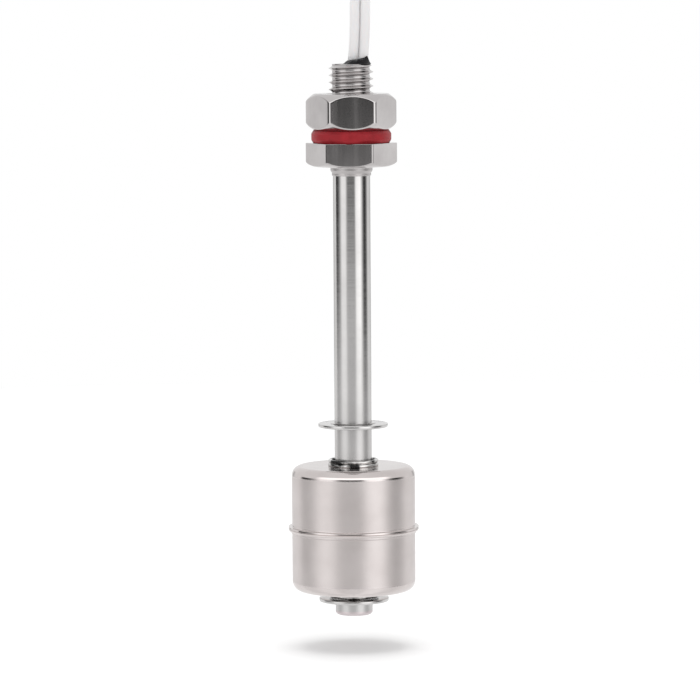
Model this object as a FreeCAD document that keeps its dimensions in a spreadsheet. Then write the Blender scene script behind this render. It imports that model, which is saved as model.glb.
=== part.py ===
import FreeCAD, Part
import os
import re
from math import cos, pi, sin, tan

import Sketcher

# Vertical float level switch. The origin is the centre of the hex flange's top face, where the
# gasket seats. The stud points up along +Z and the stem hangs below. All sizes are millimetres.

SIZES = {
    # threaded fitting
    "stud_diameter": 10,
    "stud_length": 17,
    "stud_bore": 7.3,
    "stud_end_chamfer": 0.9,
    "flange_width": 17,
    "flange_height": 5,
    "flange_angle": -2.8,
    "flange_chamfer_circle": 16.3,
    "flange_chamfer_angle": 30,
    "flange_edge_radius": 0.4,
    "collar_diameter": 8.9,
    "collar_tip_diameter": 8.3,
    "collar_length": 2,
    "socket_depth": 4,
    # gasket and lock nut
    "gasket_diameter": 17.1,
    "gasket_height": 2.7,
    "gasket_edge_chamfer": 0.4,
    "gasket_clearance": 0.05,
    "nut_width": 17,
    "nut_height": 7.8,
    "nut_angle": 2,
    "nut_chamfer_circle": 16,
    "nut_chamfer_angle": 45,
    "nut_edge_radius": 0.9,
    "thread_clearance": 0.1,
    "hex_cut_margin": 0.7,
    # stem
    "stem_diameter": 8,
    "stem_bore": 6,
    "stem_reach": 101.6,
    "cap_height": 1,
    "cap_edge_chamfer": 0.4,
    "spigot_length": 1.5,
    # stop rings
    "ring_diameter": 15,
    "ring_thickness": 0.7,
    "ring_pocket_diameter": 9.6,
    "ring_opening": 6,
    "ring_prong_width": 2.6,
    "ring_prong_angle": 108,
    "ring_prong_root": 0.7,
    "groove_diameter": 7,
    "groove_clearance": 0.05,
    "stop_rise": 3.7,
    # float
    "float_diameter": 26.5,
    "float_height": 27,
    "float_corner_radius": 2,
    "float_wall": 0.25,
    "inside_corner_share": 0.85,
    "float_bore": 9.2,
    "float_tube_wall": 0.25,
    "float_travel": 6.8,
    "seam_rim_width": 0.8,
    "seam_rim_height": 0.5,
    "seam_edge_chamfer": 0.2,
    "neck_height": 1.5,
    "neck_lip": 0.5,
    "neck_chamfer": 0.3,
    "stop_clearance": 0.1,
    # magnet and its spacers
    "magnet_diameter": 16,
    "magnet_height": 5,
    "magnet_rise": 3,
    "magnet_clearance": 0.1,
    "spacer_diameter": 12,
    # reed switch
    "reed_rise": 27.9,
    "reed_offset": 1.6,
    "glass_diameter": 2.3,
    "glass_length": 14,
    "glass_wall": 0.3,
    "glass_seal_length": 2,
    "blade_width": 1.1,
    "blade_thickness": 0.2,
    "blade_overlap": 1,
    "blade_gap": 0.06,
    "reed_wire_diameter": 0.6,
    "reed_wire_length": 6,
    "reed_sleeve_wall": 0.18,
    "reed_sleeve_length": 15,
    "reed_sleeve_clearance": 0.01,
    # leads, joints and potting
    "lead_diameter": 2.15,
    "conductor_diameter": 0.8,
    "lead_gap": 0.05,
    "wire_gap": 0.06,
    "lead_bend_level": 3,
    "lead_exit_level": 18,
    "lead_a_exit": 0.47,
    "lead_b_exit": 2.65,
    "solder_length": 3.4,
    "solder_diameter": 2,
    "solder_overlap": 3,
    "strip_length": 4,
    "conductor_setback": 0.2,
    "crossover_height": 2.6,
    "resin_cover": 2.5,
    "potting_depth": 7,
    "potting_cap_diameter": 5.7,
    "potting_cap_chamfer": 0.5,
    # hank of spare lead and its tie
    "hank_y": 4.3,
    "hank_level": 37.2,
    "hank_half_run": 21.5,
    "hank_end_width": 15.6,
    "hank_end_depth": 11.6,
    "hank_waist_width": 9,
    "hank_waist_depth": 6.8,
    "hank_waist_height": 6,
    "hank_end_reach": 7.8,
    "hank_end_flat": 5.2,
    "hank_end_slope": 3.12,
    "hank_pinch_margin": 1,
    "tie_thickness": 0.9,
    "tie_height": 3.6,
    "tail_a_x": 0.8,
    "tail_b_x": 3.8,
    "tail_y": 8.8,
    "tail_length": 9.2,
    "tip_length": 6,
}

doc = FreeCAD.newDocument("FloatLevelSwitch")
sheet = doc.addObject("Spreadsheet::Sheet", "Sizes")
for row, (alias, value) in enumerate(SIZES.items(), start=1):
    sheet.set(f"A{row}", alias)
    sheet.set(f"B{row}", str(value))
    sheet.setAlias(f"B{row}", alias)
doc.recompute()

parts = []

# Heights and widths that several sub-parts share: the working faces of the two stop rings, the
# middle of the float at rest and of the reed, the ends of the stem tube, and the float's bore tube
LOWER_STOP = "(-stem_reach + stop_rise)"
FLOAT_STACK = "(float_height + 2 * neck_height + 2 * stop_clearance)"
UPPER_STOP = f"({LOWER_STOP} + {FLOAT_STACK} + float_travel)"
FLOAT_MIDDLE = f"({LOWER_STOP} + {FLOAT_STACK} / 2)"
REED_MIDDLE = f"({LOWER_STOP} + reed_rise)"
TUBE_BOTTOM = "(-stem_reach + cap_height)"
TUBE_TOP = "(-flange_height - collar_length + socket_depth)"
FLOAT_TUBE = "(float_bore + 2 * float_tube_wall)"
NECK = f"({FLOAT_TUBE} + 2 * neck_lip)"
MAGNET_BORE = f"({FLOAT_TUBE} + 2 * magnet_clearance)"
INSIDE_END = "(float_height / 2 - float_wall)"
HANK_REACH = "(hank_half_run + hank_end_reach)"


def size(name):
    """The value of one driving size."""
    return float(sheet.get(name))


def bound(text):
    """Point every size named in an expression at its cell."""
    return re.sub(r"\b[a-z]+(_[a-z]+)+\b", r"Sizes.\g<0>", text)


def named(item, label):
    """Give a finished sub-part its label and list it."""
    item.Label = label
    parts.append(item)
    return item


def new_body(name, lift=None):
    """A body, with its place along the stem axis bound to the sheet."""
    body = doc.addObject("PartDesign::Body", name)
    if lift:
        body.setExpression("Placement.Base.z", bound(lift))
    return body


def new_sketch(body, role, name):
    """A sketch on one of the body's own origin planes."""
    sketch = body.newObject("Sketcher::SketchObject", name)
    plane = next(item for item in body.Origin.OriginFeatures if item.Role == role)
    sketch.AttachmentSupport = (plane, [""])
    sketch.MapMode = "FlatFace"
    return sketch


def add_polygon(sketch, corners):
    """A closed outline whose corners are each bound by two expressions."""
    first = sketch.GeometryCount
    count = len(corners)
    start = [
        FreeCAD.Vector(cos(2 * pi * i / count), sin(2 * pi * i / count), 0)
        for i in range(count)
    ]
    for i in range(count):
        sketch.addGeometry(Part.LineSegment(start[i], start[(i + 1) % count]), False)
    for i in range(count):
        link = Sketcher.Constraint("Coincident", first + i, 2, first + (i + 1) % count, 1)
        sketch.addConstraint(link)
    for i, (across, up) in enumerate(corners):
        for kind, value, text in (("DistanceX", start[i].x, across), ("DistanceY", start[i].y, up)):
            index = sketch.addConstraint(Sketcher.Constraint(kind, -1, 1, first + i, 1, value))
            sketch.setExpression(f"Constraints[{index}]", bound(text))


def add_circle(sketch, diameter):
    """A circle about the sketch's origin."""
    index = sketch.addGeometry(Part.Circle(FreeCAD.Vector(), FreeCAD.Vector(0, 0, 1), 1), False)
    sketch.addConstraint(Sketcher.Constraint("Coincident", index, 3, -1, 1))
    number = sketch.addConstraint(Sketcher.Constraint("Diameter", index, 2))
    sketch.setExpression(f"Constraints[{number}]", bound(diameter))


def revolve(body, name, corners, cut=False):
    """Turn an outline in the XZ plane about the body's Z axis, adding to it or cutting it."""
    sketch = new_sketch(body, "XZ_Plane", name + "Profile")
    add_polygon(sketch, corners)
    kind = "PartDesign::Groove" if cut else "PartDesign::Revolution"
    feature = body.newObject(kind, name)
    feature.Profile = sketch
    feature.ReferenceAxis = (sketch, ["V_Axis"])
    feature.Angle = 360
    doc.recompute()
    return feature


def pad(body, name, sketch, length, downward=False, both_ways=False):
    """Extrude a sketch."""
    feature = body.newObject("PartDesign::Pad", name)
    feature.Profile = sketch
    feature.setExpression("Length", bound(length))
    feature.Reversed = downward
    feature.Midplane = both_ways
    doc.recompute()
    return feature


def pocket_through(body, name, sketch):
    """Cut a sketch right through the body both ways, and make sure that it removed something."""
    before = body.Shape.Volume
    feature = body.newObject("PartDesign::Pocket", name)
    feature.Profile = sketch
    feature.Type = "ThroughAll"
    feature.Midplane = True
    doc.recompute()
    if body.Shape.Volume >= before:
        raise RuntimeError(name + " removed nothing")
    return feature


def edges_where(shape, test):
    """Names of the edges that pass a test."""
    return [f"Edge{i}" for i, edge in enumerate(shape.Edges, start=1) if test(edge)]


def is_upright(edge):
    """Is this edge a straight one along Z?"""
    ends = [vertex.Point for vertex in edge.Vertexes]
    if len(ends) != 2 or not isinstance(edge.Curve, Part.Line):
        return False
    step = ends[1] - ends[0]
    return abs(step.x) + abs(step.y) < 1e-6


def round_edges(body, name, base, test, radius):
    """Fillet the edges that pass a test."""
    feature = body.newObject("PartDesign::Fillet", name)
    feature.Base = (base, edges_where(base.Shape, test))
    feature.setExpression("Radius", bound(radius))
    doc.recompute()
    return feature


def hexagon(width, angle):
    """Corners of a hexagon of one width across flats, turned by an angle from flats at front and back."""
    reach = f"{width} / 2 / cos(30 deg)"
    return [
        (f"{reach} * cos(({angle} + {60 * i}) * 1 deg)", f"{reach} * sin(({angle} + {60 * i}) * 1 deg)")
        for i in range(6)
    ]


def hex_chamfer(hexagon, level, direction):
    """Outline that turns the corners off one end of the nut or flange, direction 1 up or -1 down."""
    circle = hexagon + "_chamfer_circle / 2"
    outside = f"({hexagon}_width / sqrt(3) + hex_cut_margin)"
    drop = f"({outside} - {circle}) * tan({hexagon}_chamfer_angle * 1 deg)"
    return [
        (circle, level),
        (outside, level),
        (outside, f"{level} - {direction} * {drop}"),
    ]


# Threaded fitting: hex flange, stud, weld collar, wire bore and tube socket


def make_fitting():
    body = new_body("Fitting")
    outline = new_sketch(body, "XY_Plane", "FlangeOutline")
    add_polygon(outline, hexagon("flange_width", "flange_angle"))
    flange = pad(body, "Flange", outline, "flange_height", downward=True)
    round_edges(body, "FlangeCorners", flange, is_upright, "flange_edge_radius")
    chamfer = hex_chamfer("flange", "-flange_height", -1)
    revolve(body, "FlangeChamfer", chamfer, cut=True)
    revolve(body, "Stud", [
        ("0", "-flange_height / 2"),
        ("stud_diameter / 2", "-flange_height / 2"),
        ("stud_diameter / 2", "stud_length - stud_end_chamfer"),
        ("stud_diameter / 2 - stud_end_chamfer", "stud_length"),
        ("0", "stud_length"),
    ])
    revolve(body, "WeldCollar", [
        ("0", "-flange_height / 2"),
        ("collar_diameter / 2", "-flange_height / 2"),
        ("collar_diameter / 2", "-flange_height"),
        ("collar_tip_diameter / 2", "-flange_height - collar_length / 2"),
        ("collar_tip_diameter / 2", "-flange_height - collar_length"),
        ("0", "-flange_height - collar_length"),
    ])
    revolve(body, "WireBore", [
        ("0", "-flange_height - collar_length"),
        ("stem_diameter / 2", "-flange_height - collar_length"),
        ("stem_diameter / 2", TUBE_TOP),
        ("stud_bore / 2", TUBE_TOP),
        ("stud_bore / 2", "stud_length"),
        ("0", "stud_length"),
    ], cut=True)
    named(body, "threaded_fitting")


# Lock nut, seated on the gasket


def make_nut():
    body = new_body("Nut", "gasket_height")
    outline = new_sketch(body, "XY_Plane", "NutOutline")
    add_polygon(outline, hexagon("nut_width", "nut_angle"))
    block = pad(body, "NutBlock", outline, "nut_height")
    round_edges(body, "NutCorners", block, is_upright, "nut_edge_radius")
    lower = hex_chamfer("nut", "0", -1)
    upper = hex_chamfer("nut", "nut_height", 1)
    revolve(body, "NutLowerChamfer", lower, cut=True)
    revolve(body, "NutUpperChamfer", upper, cut=True)
    bore = new_sketch(body, "XY_Plane", "NutBoreOutline")
    add_circle(bore, "stud_diameter + 2 * thread_clearance")
    pocket_through(body, "NutBore", bore)
    named(body, "mounting_nut")


def make_gasket():
    body = new_body("Gasket")
    outer = "gasket_diameter / 2"
    revolve(body, "GasketRing", [
        ("stud_diameter / 2 + gasket_clearance", "0"),
        (f"{outer} - gasket_edge_chamfer", "0"),
        (outer, "gasket_edge_chamfer"),
        (outer, "gasket_height - gasket_edge_chamfer"),
        (f"{outer} - gasket_edge_chamfer", "gasket_height"),
        ("stud_diameter / 2 + gasket_clearance", "gasket_height"),
    ])
    named(body, "gasket")


# Stem tube with two ring grooves, and its closed end


def groove_outline(face, side):
    """Cut for a ring whose working face is at a height: side 1 for a ring above it, -1 below."""
    near = f"({face} - {side} * groove_clearance)"
    far = f"({face} + {side} * (ring_thickness + groove_clearance))"
    return [
        ("groove_diameter / 2", near),
        ("stem_diameter", near),
        ("stem_diameter", far),
        ("groove_diameter / 2", far),
    ]


def make_stem():
    body = new_body("Stem")
    revolve(body, "StemWall", [
        ("stem_bore / 2", TUBE_BOTTOM),
        ("stem_diameter / 2", TUBE_BOTTOM),
        ("stem_diameter / 2", TUBE_TOP),
        ("stem_bore / 2", TUBE_TOP),
    ])
    revolve(body, "UpperGroove", groove_outline(UPPER_STOP, 1), cut=True)
    revolve(body, "LowerGroove", groove_outline(LOWER_STOP, -1), cut=True)
    named(body, "stem_tube")


def make_end_cap():
    body = new_body("EndCap", TUBE_BOTTOM)
    revolve(body, "CapHead", [
        ("0", "-cap_height"),
        ("stem_diameter / 2 - cap_edge_chamfer", "-cap_height"),
        ("stem_diameter / 2", "-cap_height + cap_edge_chamfer"),
        ("stem_diameter / 2", "0"),
        ("stem_bore / 2", "0"),
        ("stem_bore / 2", "spigot_length"),
        ("0", "spigot_length"),
    ])
    named(body, "stem_end_cap")


# Stop rings: open rings with three prongs that grip the groove, the opening at the back


def make_stop_ring(label, lift):
    body = new_body(label.title().replace("_", ""), lift)
    blank = new_sketch(body, "XY_Plane", "Blank")
    add_circle(blank, "ring_diameter")
    add_circle(blank, "ring_pocket_diameter")
    pad(body, "Plate", blank, "ring_thickness")
    prongs = new_sketch(body, "XY_Plane", "Prongs")
    for angle in ("0", "ring_prong_angle", "-ring_prong_angle"):
        add_polygon(prongs, prong_corners(angle))
    pad(body, "ProngPlates", prongs, "ring_thickness")
    seat = new_sketch(body, "XY_Plane", "Seat")
    add_circle(seat, "groove_diameter")
    pocket_through(body, "SeatHole", seat)
    mouth = new_sketch(body, "XY_Plane", "Mouth")
    add_polygon(mouth, [
        ("-ring_opening / 2", "0"),
        ("ring_opening / 2", "0"),
        ("ring_opening / 2", "ring_diameter"),
        ("-ring_opening / 2", "ring_diameter"),
    ])
    pocket_through(body, "MouthCut", mouth)
    named(body, label)


def prong_corners(angle):
    """One prong from the ring's land in to its seat, turned from the front by an angle."""
    corners = []
    half = "ring_prong_width / 2"
    for across, reach in (
        ("-" + half, "(groove_diameter / 2 - ring_prong_root)"),
        (half, "(groove_diameter / 2 - ring_prong_root)"),
        (half, "(ring_pocket_diameter / 2 + ring_prong_root)"),
        ("-" + half, "(ring_pocket_diameter / 2 + ring_prong_root)"),
    ):
        turn = f"({angle}) * 1 deg"
        corners.append((
            f"{across} * cos({turn}) + {reach} * sin({turn})",
            f"{across} * sin({turn}) - {reach} * cos({turn})",
        ))
    return corners


# Float: two drawn shells that meet at a rim, and the inner tube that runs through them. Each
# shell's corner is turned in short cones whose ends lie on its radius

CORNER_ANGLES = (0, 30, 60, 90)


def make_float_shell(label, side):
    """One half of the float. side is 1 for the upper half and -1 for the lower one."""
    body = new_body(label.title().replace("_", ""), FLOAT_MIDDLE)
    outer = "float_diameter / 2"
    inner = "float_diameter / 2 - float_wall"
    seam = "float_diameter / 2 + seam_rim_width"
    neck = NECK + " / 2"
    tube = FLOAT_TUBE + " / 2"
    end = f"{side} * float_height / 2"
    bend = "((float_corner_radius - float_wall) * inside_corner_share)"
    corner = [
        (f"{outer} - float_corner_radius * (1 - cos({angle} deg))",
         f"{end} - {side} * float_corner_radius * (1 - sin({angle} deg))")
        for angle in CORNER_ANGLES
    ]
    revolve(body, "Shell", [
        (inner, "0"),
        (seam, "0"),
        (seam, f"{side} * (seam_rim_height - seam_edge_chamfer)"),
        (f"{seam} - seam_edge_chamfer", f"{side} * seam_rim_height"),
        (outer, f"{side} * seam_rim_height"),
        *corner,
        (neck, end),
        (neck, f"{end} + {side} * (neck_height / 2 - neck_chamfer)"),
        (f"{neck} - neck_chamfer", f"{end} + {side} * neck_height / 2"),
        (tube, f"{end} + {side} * neck_height / 2"),
        (tube, f"{side} * {INSIDE_END}"),
        (f"{inner} - {bend}", f"{side} * {INSIDE_END}"),
        (inner, f"{side} * ({INSIDE_END} - {bend})"),
    ])
    named(body, label)


def make_float_tube():
    """The float's bore, with an outward lip rolled over each end."""
    body = new_body("FloatTube", FLOAT_MIDDLE)
    tube = FLOAT_TUBE + " / 2"
    neck = NECK + " / 2"
    end = "(float_height / 2 + neck_height)"
    lip = "(float_height / 2 + neck_height / 2)"
    revolve(body, "TubeWall", [
        ("float_bore / 2", f"-{end}"),
        (neck, f"-{end}"),
        (neck, f"-{lip}"),
        (tube, f"-{lip}"),
        (tube, lip),
        (neck, lip),
        (neck, end),
        ("float_bore / 2", end),
    ])
    named(body, "float_inner_tube")


def make_magnet():
    body = new_body("Magnet", f"{FLOAT_MIDDLE} + magnet_rise")
    revolve(body, "MagnetRing", [
        (MAGNET_BORE + " / 2", "-magnet_height / 2"),
        ("magnet_diameter / 2", "-magnet_height / 2"),
        ("magnet_diameter / 2", "magnet_height / 2"),
        (MAGNET_BORE + " / 2", "magnet_height / 2"),
    ])
    named(body, "float_magnet")


def make_spacer(label, side):
    """Sleeve between the magnet and one end wall of the float."""
    body = new_body(label.title().replace("_", ""), FLOAT_MIDDLE)
    near = f"magnet_rise + {side} * magnet_height / 2"
    far = f"{side} * {INSIDE_END}"
    revolve(body, "Sleeve", [
        (MAGNET_BORE + " / 2", near),
        ("spacer_diameter / 2", near),
        ("spacer_diameter / 2", far),
        (MAGNET_BORE + " / 2", far),
    ])
    named(body, label)


# Reed switch: glass capsule, two blades and a sleeve


def cylinder(name, diameter, length, x, level, y="0"):
    """A round bar along Z whose lower end is at a level."""
    bar = doc.addObject("Part::Cylinder", name)
    bar.setExpression("Radius", bound(f"({diameter}) / 2"))
    bar.setExpression("Height", bound(length))
    bar.setExpression("Placement.Base.x", bound(x))
    bar.setExpression("Placement.Base.y", bound(y))
    bar.setExpression("Placement.Base.z", bound(level))
    return bar


def cut(name, base, *tools):
    """One solid less each of the others."""
    for number, tool in enumerate(tools, start=1):
        result = doc.addObject("Part::Cut", f"{name}Less{number}")
        result.Base = base
        result.Tool = tool
        doc.recompute()
        base = result
    return base


def fuse(name, *shapes):
    """Several solids made one."""
    result = doc.addObject("Part::MultiFuse", name)
    result.Shapes = list(shapes)
    doc.recompute()
    return result


def make_glass():
    body = new_body("Glass", REED_MIDDLE)
    body.setExpression("Placement.Base.x", bound("-reed_offset"))
    wire = "reed_wire_diameter / 2"
    half = "glass_length / 2"
    wide = "glass_diameter / 2"
    revolve(body, "Capsule", [
        (wire, "-" + half),
        (wide, "-" + half),
        (wide, half),
        (wire, half),
        (wire, f"{half} - glass_seal_length"),
        (f"{wide} - glass_wall", f"{half} - glass_seal_length"),
        (f"{wide} - glass_wall", f"-{half} + glass_seal_length"),
        (wire, f"-{half} + glass_seal_length"),
    ])
    named(body, "reed_glass")
    return body


def make_blade(label, side):
    """A flat contact blade and the round wire that carries it out through the glass."""
    seal = "glass_length / 2 - glass_seal_length"
    strip = doc.addObject("Part::Box", label.title().replace("_", "") + "Strip")
    strip.setExpression("Length", bound("blade_width"))
    strip.setExpression("Width", bound("blade_thickness"))
    strip.setExpression("Height", bound(f"{seal} + blade_overlap / 2"))
    strip.setExpression("Placement.Base.x", bound("-reed_offset - blade_width / 2"))
    shift = f"{side} * (blade_thickness + blade_gap) / 2 - blade_thickness / 2"
    strip.setExpression("Placement.Base.y", bound(shift))
    low = "-blade_overlap / 2" if side > 0 else f"-({seal})"
    strip.setExpression("Placement.Base.z", bound(f"{REED_MIDDLE} + {low}"))
    length = "(glass_seal_length + reed_wire_length)"
    level = f"{seal}" if side > 0 else f"-({seal}) - {length}"
    wire = cylinder(label.title().replace("_", "") + "Wire", "reed_wire_diameter", length,
                    "-reed_offset", f"{REED_MIDDLE} + {level}")
    return named(fuse(label.title().replace("_", ""), strip, wire), label)


def make_reed_sleeve():
    inner = "glass_diameter + 2 * reed_sleeve_clearance"
    level = f"{REED_MIDDLE} - reed_sleeve_length / 2"
    outside = cylinder("SleeveOutside", f"{inner} + 2 * reed_sleeve_wall", "reed_sleeve_length",
                       "-reed_offset", level)
    inside = cylinder("SleeveInside", inner, "reed_sleeve_length", "-reed_offset", level)
    named(cut("ReedSleeve", outside, inside), "reed_sleeve")


# Leads: round runs joined by tangent arcs


def route(points):
    """A wire of straight runs with an arc at each inner point, as large as its runs allow."""
    points = [FreeCAD.Vector(*point) for point in points]
    edges = []
    start = points[0]
    for before, corner, after in zip(points, points[1:], points[2:]):
        back = before - corner
        ahead = after - corner
        turn = pi - back.getAngle(ahead)
        reach = 0.45 * min(back.Length, ahead.Length)
        radius = reach / tan(turn / 2)
        print(f"  bend radius {radius:.1f} mm, turn {turn * 180 / pi:.0f} degrees")
        back.normalize()
        ahead.normalize()
        arc_start = corner + back * reach
        arc_end = corner + ahead * reach
        middle = corner + (back + ahead).normalize() * (radius / cos(turn / 2) - radius)
        edges.append(Part.LineSegment(start, arc_start).toShape())
        edges.append(Part.Arc(arc_start, middle, arc_end).toShape())
        start = arc_end
    edges.append(Part.LineSegment(start, points[-1]).toShape())
    return Part.Wire(edges)


def make_wire(label, points, diameter):
    """A round wire along a route, its volume compared with section times length."""
    print(label)
    path = route(points)
    start = FreeCAD.Vector(*points[0])
    ahead = FreeCAD.Vector(*points[1]) - start
    circle = Part.Wire([Part.Circle(start, ahead, diameter / 2).toShape()])
    item = doc.addObject("Part::Feature", label.title().replace("_", ""))
    item.Shape = Part.Solid(path.makePipeShell([circle], True, False))
    ratio = item.Shape.Volume / (pi * diameter ** 2 / 4 * path.Length)
    print(f"  length {path.Length:.1f} mm, volume over section times length {ratio:.4f}")
    return named(item, label)


def reed_wire_end(side):
    """Height of the end of one of the reed's wires."""
    middle = doc.getObject("Glass").Placement.Base.z
    return middle + side * (size("glass_length") / 2 + size("reed_wire_length"))


def beside_reed():
    """Place of a conductor that lies against the reed's wire."""
    radii = (size("reed_wire_diameter") + size("conductor_diameter")) / 2
    return -size("reed_offset") + radii + size("wire_gap")


def make_inner_leads():
    """The two leads from the reed's wires up through the stem and out of the stud."""
    bend = size("lead_bend_level")
    top = size("lead_exit_level")
    near = beside_reed()
    far = near + size("lead_diameter") + size("lead_gap")
    overlap = size("solder_overlap")
    crossing = size("crossover_height")
    a_end = reed_wire_end(1) - overlap + size("strip_length")
    b_end = reed_wire_end(-1) + overlap + crossing
    lead = size("lead_diameter")
    bare = size("conductor_diameter")
    a = make_wire("inner_lead_a", [
        (near, 0, a_end),
        (near, 0, bend),
        (size("lead_a_exit"), 0, top),
    ], lead)
    b = make_wire("inner_lead_b", [
        (far, 0, b_end),
        (far, 0, bend),
        (size("lead_b_exit"), 0, top),
    ], lead)
    upper = doc.addObject("Part::Cylinder", "ConductorUpper")
    upper.setExpression("Radius", bound("conductor_diameter / 2"))
    upper.setExpression("Height", bound("strip_length"))
    upper.Placement.Base = FreeCAD.Vector(near, 0, a_end - size("strip_length"))
    named(upper, "conductor_upper")
    lower = make_wire("conductor_lower", [
        (far, 0, b_end - size("conductor_setback")),
        (near, 0, reed_wire_end(-1)),
    ], bare)
    return a, b, upper, lower


def make_solder(label, side, *wires):
    """A drop of solder around a conductor and the reed's wire."""
    across = "-reed_offset + (reed_wire_diameter + conductor_diameter) / 4 + wire_gap / 2"
    middle = f"{REED_MIDDLE} + {side} * (glass_length / 2 + reed_wire_length - solder_overlap / 2)"
    name = label.title().replace("_", "")
    drop = cylinder(name + "Drop", "solder_diameter", "solder_length", across,
                    f"{middle} - solder_length / 2")
    return named(cut(name, drop, *wires), label)


def make_resin(*held):
    """Resin in the closed end of the stem, cast around the reed's lower joint."""
    bottom = TUBE_BOTTOM + " + spigot_length"
    top = f"({REED_MIDDLE} - glass_length / 2 - reed_wire_length + resin_cover)"
    fill = cylinder("ResinFill", "stem_bore", f"{top} - ({bottom})", "0", bottom)
    named(cut("StemResin", fill, *held), "stem_resin")


def make_potting(*leads):
    """Black potting in the stud's mouth, with a low cap around the two leads."""
    body = new_body("Potting")
    revolve(body, "Plug", [
        ("0", "stud_length - potting_depth"),
        ("stud_bore / 2", "stud_length - potting_depth"),
        ("stud_bore / 2", "stud_length"),
        ("0", "stud_length"),
    ])
    cap = doc.addObject("Part::Cone", "PottingCap")
    cap.setExpression("Radius1", bound("potting_cap_diameter / 2"))
    cap.setExpression("Radius2", bound("potting_cap_diameter / 2 - potting_cap_chamfer"))
    cap.setExpression("Height", bound("lead_exit_level - stud_length"))
    cap.setExpression("Placement.Base.x", bound("(lead_a_exit + lead_b_exit) / 2"))
    cap.setExpression("Placement.Base.z", bound("stud_length"))
    whole = fuse("PottingWhole", body, cap)
    named(cut("PottingSeal", whole, *leads), "potting_seal")


# Free leads: straight out of the potting, folded in a tied hank above, with two stripped ends

LEAD_A_ROUTE = [
    (0.47, 0, 18),
    (0.88, 0, 22.5),
    (0.95, -0.15, 30),
]
LEAD_B_ROUTE = [
    (2.65, 0, 18),
    (3.05, 0, 22.5),
    (3.12, -0.1, 30),
]
HANK_ENTRY_A = (1.0, -0.2)
HANK_ENTRY_B = (3.2, -0.2)


def make_free_leads():
    lead = size("lead_diameter")
    foot = size("hank_level")
    a = make_wire("lead_a", LEAD_A_ROUTE + [(*HANK_ENTRY_A, foot)], lead)
    b = make_wire("lead_b", LEAD_B_ROUTE + [(*HANK_ENTRY_B, foot)], lead)
    top = f"hank_level + 2 * {HANK_REACH}"
    for end, across in (("a", "tail_a_x"), ("b", "tail_b_x")):
        tail = cylinder("LeadTail" + end.upper(), "lead_diameter", "tail_length", across, top, "tail_y")
        named(tail, "lead_tail_" + end)
        tip = cylinder("LeadTip" + end.upper(), "conductor_diameter", "tip_length", across,
                       f"{top} + tail_length", "tail_y")
        named(tip, "lead_tip_" + end)
    return a, b


def make_hank():
    """The outer shape of the folded leads: two loops' ends and a waist between them."""
    body = new_body("Hank", f"hank_level + {HANK_REACH}")
    body.setExpression("Placement.Base.y", bound("hank_y"))
    front = new_sketch(body, "XZ_Plane", "HankFront")
    waist = "hank_waist_width / 2"
    flat = "hank_waist_height / 2"
    wide = "hank_end_width / 2"
    tip = f"({wide} - hank_end_slope)"
    near = "(hank_half_run - hank_end_flat / 2)"
    far = "(hank_half_run + hank_end_flat / 2)"
    add_polygon(front, [
        (waist, "-" + flat),
        (waist, flat),
        (wide, near),
        (wide, far),
        (tip, HANK_REACH),
        ("-" + tip, HANK_REACH),
        ("-" + wide, far),
        ("-" + wide, near),
        ("-" + waist, flat),
        ("-" + waist, "-" + flat),
        ("-" + wide, "-" + near),
        ("-" + wide, "-" + far),
        ("-" + tip, "-" + HANK_REACH),
        (tip, "-" + HANK_REACH),
        (wide, "-" + far),
        (wide, "-" + near),
    ])
    pad(body, "HankBlock", front, "hank_end_depth", both_ways=True)
    side = new_sketch(body, "YZ_Plane", "HankSide")
    deep = "hank_end_depth / 2"
    slim = "hank_waist_depth / 2"
    slope = "(hank_half_run - hank_end_flat / 2)"
    for sign in ("", "-"):
        add_polygon(side, [
            (f"{sign}({slim})", "-" + flat),
            (f"{sign}({slim})", flat),
            (f"{sign}({deep} + hank_pinch_margin)", slope),
            (f"{sign}({deep} + hank_pinch_margin)", "-" + slope),
        ])
    pocket_through(body, "HankPinch", side)
    named(body, "lead_hank")


def make_tie():
    """A band around the hank's waist."""
    body = new_body("Tie", f"hank_level + {HANK_REACH} - tie_height / 2")
    body.setExpression("Placement.Base.y", bound("hank_y"))
    outline = new_sketch(body, "XY_Plane", "TieOutline")
    for grow in ("tie_thickness", "0"):
        across = f"(hank_waist_width / 2 + {grow})"
        along = f"(hank_waist_depth / 2 + {grow})"
        add_polygon(outline, [
            (across, along),
            ("-" + across, along),
            ("-" + across, "-" + along),
            (across, "-" + along),
        ])
    pad(body, "TieBand", outline, "tie_height")
    named(body, "hank_tie")


def build():
    make_fitting()
    make_gasket()
    make_nut()
    make_stem()
    make_end_cap()
    make_stop_ring("upper_stop_ring", UPPER_STOP)
    make_stop_ring("lower_stop_ring", f"{LOWER_STOP} - ring_thickness")
    make_float_shell("float_upper_shell", 1)
    make_float_shell("float_lower_shell", -1)
    make_float_tube()
    make_magnet()
    make_spacer("magnet_spacer_upper", 1)
    make_spacer("magnet_spacer_lower", -1)
    make_glass()
    upper_blade = make_blade("reed_blade_upper", 1)
    lower_blade = make_blade("reed_blade_lower", -1)
    make_reed_sleeve()
    inner_a, inner_b, upper_wire, lower_wire = make_inner_leads()
    make_solder("solder_joint_upper", 1, upper_blade, upper_wire)
    lower_solder = make_solder("solder_joint_lower", -1, lower_blade, lower_wire)
    make_resin(lower_blade, lower_wire, lower_solder)
    outer_a, outer_b = make_free_leads()
    make_potting(inner_a, inner_b, outer_a, outer_b)
    make_hank()
    make_tie()


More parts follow.
